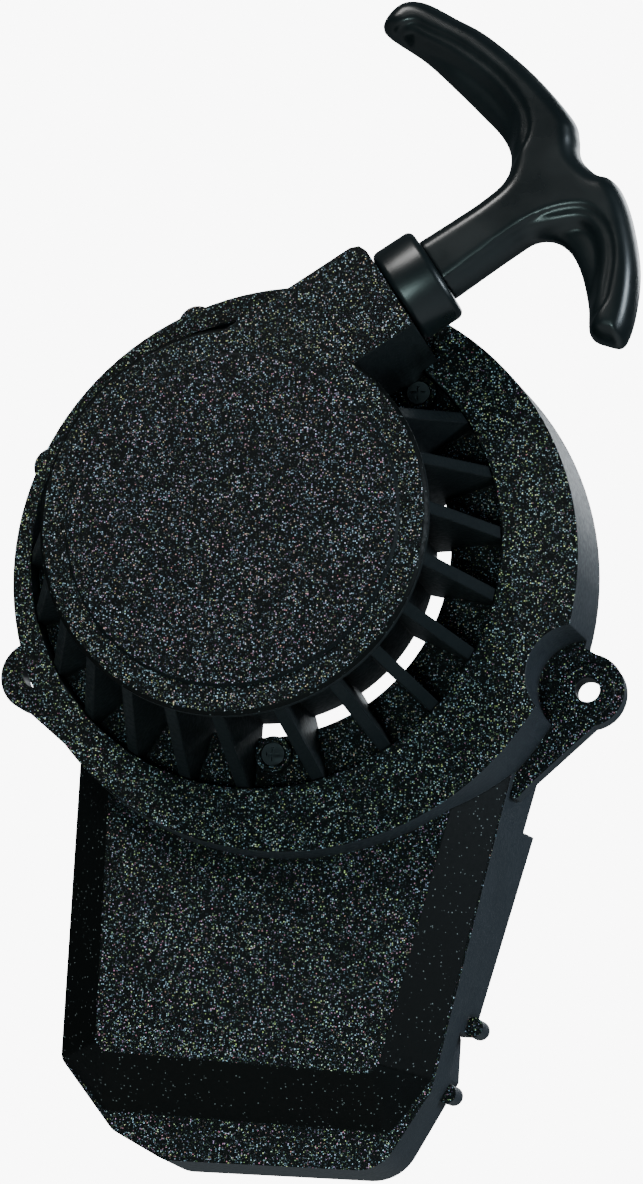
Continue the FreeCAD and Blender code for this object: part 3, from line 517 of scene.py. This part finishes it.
# Handle outline in millimetres along the rope and across it, from the stem round both arms.
HANDLE_OUTLINE = [
    (60.0, -8.0), (72.3, -7.6), (81.0, -7.2), (90.0, -6.9), (95.4, -7.1), (99.2, -9.8), (100.8, -14.6),
    (99.9, -21.0), (97.0, -28.6), (93.8, -34.6), (95.8, -38.6), (99.2, -41.0), (105.1, -36.6),
    (112.0, -27.8), (116.8, -17.2), (118.8, -9.2), (118.2, -4.6), (116.2, -2.0), (115.2, 2.4),
    (115.8, 5.6), (117.6, 8.8), (118.9, 13.6), (117.3, 28.0), (113.4, 42.9), (109.4, 51.5),
    (105.6, 59.0), (101.8, 62.4), (97.8, 62.8), (93.9, 61.2), (93.2, 58.6), (97.2, 48.0),
    (99.6, 37.5), (101.4, 28.0), (102.6, 20.0), (101.4, 13.8), (97.0, 9.4), (90.0, 8.2),
    (81.0, 8.1), (72.3, 8.2), (60.0, 8.4)]
# The two finger hollows; their outer sides are the rims, and they run out over the inner edges.
UPPER_HOLLOW = [
    (99.6, 56.2), (103.0, 51.4), (107.0, 43.8), (110.4, 33.6), (111.6, 25.0), (111.0, 19.0),
    (108.2, 14.2), (102.4, 10.8), (95.0, 8.9), (84.0, 14.0), (84.0, 50.0), (92.0, 56.6)]
LOWER_HOLLOW = [
    (60.0, -5.2), (72.0, -4.8), (82.0, -4.0), (92.0, -3.2), (99.0, -3.6), (105.0, -5.4),
    (109.6, -8.4), (111.6, -13.0), (111.2, -18.4), (108.6, -23.8), (104.6, -28.6), (100.4, -32.2),
    (92.0, -34.0), (84.0, -32.0), (70.0, -20.0), (60.0, -14.0)]


def handle_field(x, y, z):
    """Positive inside the handle. The section has full rounded edges and hollowed finger grips."""
    edge = depth_inside(x, y, smooth_line(HANDLE_OUTLINE))
    thick = np.full(x.shape, FRONT_THICK)
    for hollow in (UPPER_HOLLOW, LOWER_HOLLOW):
        into = depth_inside(x, y, smooth_line(hollow))
        thick -= (RIM_DROP * soft_step(into / RIM_WIDTH)
                  + FLOOR_DROP * soft_step((into - FLOOR_START) / FLOOR_WIDTH))
    thick = thick[..., None] * (z > 0) + BACK_THICK * (z <= 0)
    round_off = 1 - np.clip(edge / EDGE_ROUND, -3, 1)
    whole = 1 - round_off[..., None] ** 2 - (z / thick) ** 2
    flat_end = (x[..., None] - STEM_END) / 2
    return np.minimum(whole, flat_end)


def make_handle():
    """The pull handle, meshed from its field."""
    along, across, out = (np.arange(low, high, GRID_STEP) for low, high in zip(GRID_LOW, GRID_HIGH))
    x, y = np.meshgrid(along, across, indexing="ij")
    solid = handle_field(x, y, out[None, None, :])
    points, quads = surface_net(solid, GRID_LOW, GRID_STEP)
    mesh = bpy.data.meshes.new("handle_grip")
    places = [at_arm(s, ROPE_SIDE + n, ROPE_HEIGHT + h) for s, n, h in points.tolist()]
    mesh.from_pydata(places, [], quads.tolist())
    mesh.validate()
    even_normals(mesh)
    piece = bpy.data.objects.new("handle_grip", mesh)
    bpy.context.collection.objects.link(piece)
    smooth_shade(piece, 60)
    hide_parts("pull_handle")
    return piece


def lathe(name, profile, base, direction, around=96):
    """A turned piece from (radius, height) millimetre pairs about a line."""
    mesh = bpy.data.meshes.new(name)
    turn = Vector((0, 0, 1)).rotation_difference(direction).to_matrix()
    vertices = []
    faces = []
    for i in range(around):
        angle = 2 * math.pi * i / around
        for radius, height in profile:
            local = Vector((radius * math.cos(angle), radius * math.sin(angle), height)) * MM
            vertices.append(base + turn @ local)
    rows = len(profile)
    for i in range(around):
        ahead = (i + 1) % around
        for k in range(rows):
            above = (k + 1) % rows
            faces.append((i * rows + k, ahead * rows + k, ahead * rows + above, i * rows + above))
    mesh.from_pydata(vertices, [], faces)
    mesh.validate()
    piece = bpy.data.objects.new(name, mesh)
    bpy.context.collection.objects.link(piece)
    smooth_shade(piece, 50)
    return piece


def rounded(radius, centre_r, centre_h, start, end, steps=6):
    """Points of an arc in a lathe profile, with its angles in degrees."""
    points = []
    for step in range(steps + 1):
        angle = math.radians(start + (end - start) * step / steps)
        points.append((centre_r + radius * math.cos(angle), centre_h + radius * math.sin(angle)))
    return points


def make_rope_guide():
    """Collar with rounded rims and a rounded mouth for the rope, in millimetres along the rope."""
    start, length, rim, soft = 55.5, 16.5, 12.0, 1.8
    spigot_radius, spigot = 6.9, 5.0
    bore, mouth = 2.1, 1.3
    profile = [(bore, 0.0), (spigot_radius, 0.0), (spigot_radius, spigot)]
    profile += rounded(soft, rim - soft, spigot + soft, -90, 0)
    profile += rounded(soft, rim - soft, length - soft, 0, 90)
    profile += rounded(mouth, bore + mouth, length - mouth, 90, 180)
    guide = lathe("rope_collar", profile, at_arm(start, ROPE_SIDE, ROPE_HEIGHT), ALONG)
    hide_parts("rope_guide")
    return guide


def make_running_rope():
    """The rope from the reel through the collar to the handle.

    The rings are close together between bend_start and bend_end.
    """
    start, bend_start, bend_end, end = 1.0, 69.5, 75.0, 104.0
    rings = 240
    around = 24
    bend = [bend_start + (bend_end - bend_start) * i / rings for i in range(rings + 1)]
    stations = [start, *bend, end]
    radius, plaits, plait_height = 1.42, 6, 0.06
    vertices = []
    faces = []
    for station in stations:
        for k in range(around):
            angle = 2 * math.pi * k / around
            plait = radius + plait_height * math.cos(plaits * angle)
            vertices.append(at_arm(station, ROPE_SIDE + plait * math.cos(angle),
                                   ROPE_HEIGHT + plait * math.sin(angle)))
    for i in range(len(stations) - 1):
        for k in range(around):
            following = (k + 1) % around
            faces.append((i * around + k, i * around + following,
                          (i + 1) * around + following, (i + 1) * around + k))
    faces.append(tuple(range(around))[::-1])
    faces.append(tuple((len(stations) - 1) * around + k for k in range(around)))
    mesh = bpy.data.meshes.new("running_rope")
    mesh.from_pydata(vertices, [], faces)
    mesh.flip_normals()
    piece = bpy.data.objects.new("running_rope", mesh)
    bpy.context.collection.objects.link(piece)
    smooth_shade(piece, 60)
    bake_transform(piece)
    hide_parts("rope_lead")
    return piece


# ---------------------------------------------------------------- build

make_camera()
make_stage()
# The shroud's walls get a lighter, bluish grey than the body's walls: painted sheen on the same black
# nylon.
shroud_nylon = spark_eroded_nylon("shroud_nylon", (0.018, 0.023, 0.029), (0.030, 0.037, 0.045))
body_nylon = spark_eroded_nylon("body_nylon", (0.005, 0.008, 0.009), (0.011, 0.015, 0.017))
satin = satin_nylon()
moulded = plain_nylon()
rope = braided_rope()
zinc = metal("zinc_plate", (0.42, 0.43, 0.43), (0.62, 0.62, 0.60), 0.22, 0.42)
spring_steel = metal("blued_spring", (0.06, 0.07, 0.10), (0.16, 0.17, 0.20), 0.25, 0.45)
screw = metal("black_oxide", (0.04, 0.045, 0.05), (0.11, 0.12, 0.13), 0.30, 0.5)
bronze = metal("bush_bronze", (0.45, 0.30, 0.12), (0.66, 0.47, 0.22), 0.25, 0.45)
sinter = metal("pawl_steel", (0.20, 0.20, 0.21), (0.38, 0.38, 0.38), 0.35, 0.6)
# The three nodes that Blender's own pieces replace need no finish.
FINISHES = {
    "fan_shroud": shroud_nylon, "starter_body": body_nylon, "body_screws": screw, "reel": moulded,
    "guide_plate": moulded, "spring_case": zinc, "centre_screw": zinc, "retaining_washer": zinc,
    "knot_washer": zinc, "recoil_spring": spring_steel, "brake_spring": spring_steel,
    "pawl_spring_1": spring_steel, "pawl_spring_2": spring_steel, "reel_bush": bronze,
    "pawl_1": sinter, "pawl_2": sinter, "rope_winding": rope, "reel_knot": rope,
    "handle_knot": rope,
}
for node, material in FINISHES.items():
    dress(node, material)

handle = make_handle()
handle.data.materials.append(satin)
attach(handle, "handle")
collar = make_rope_guide()
collar.data.materials.append(satin)
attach(collar, "housing")
running = make_running_rope()
running.data.materials.append(rope)
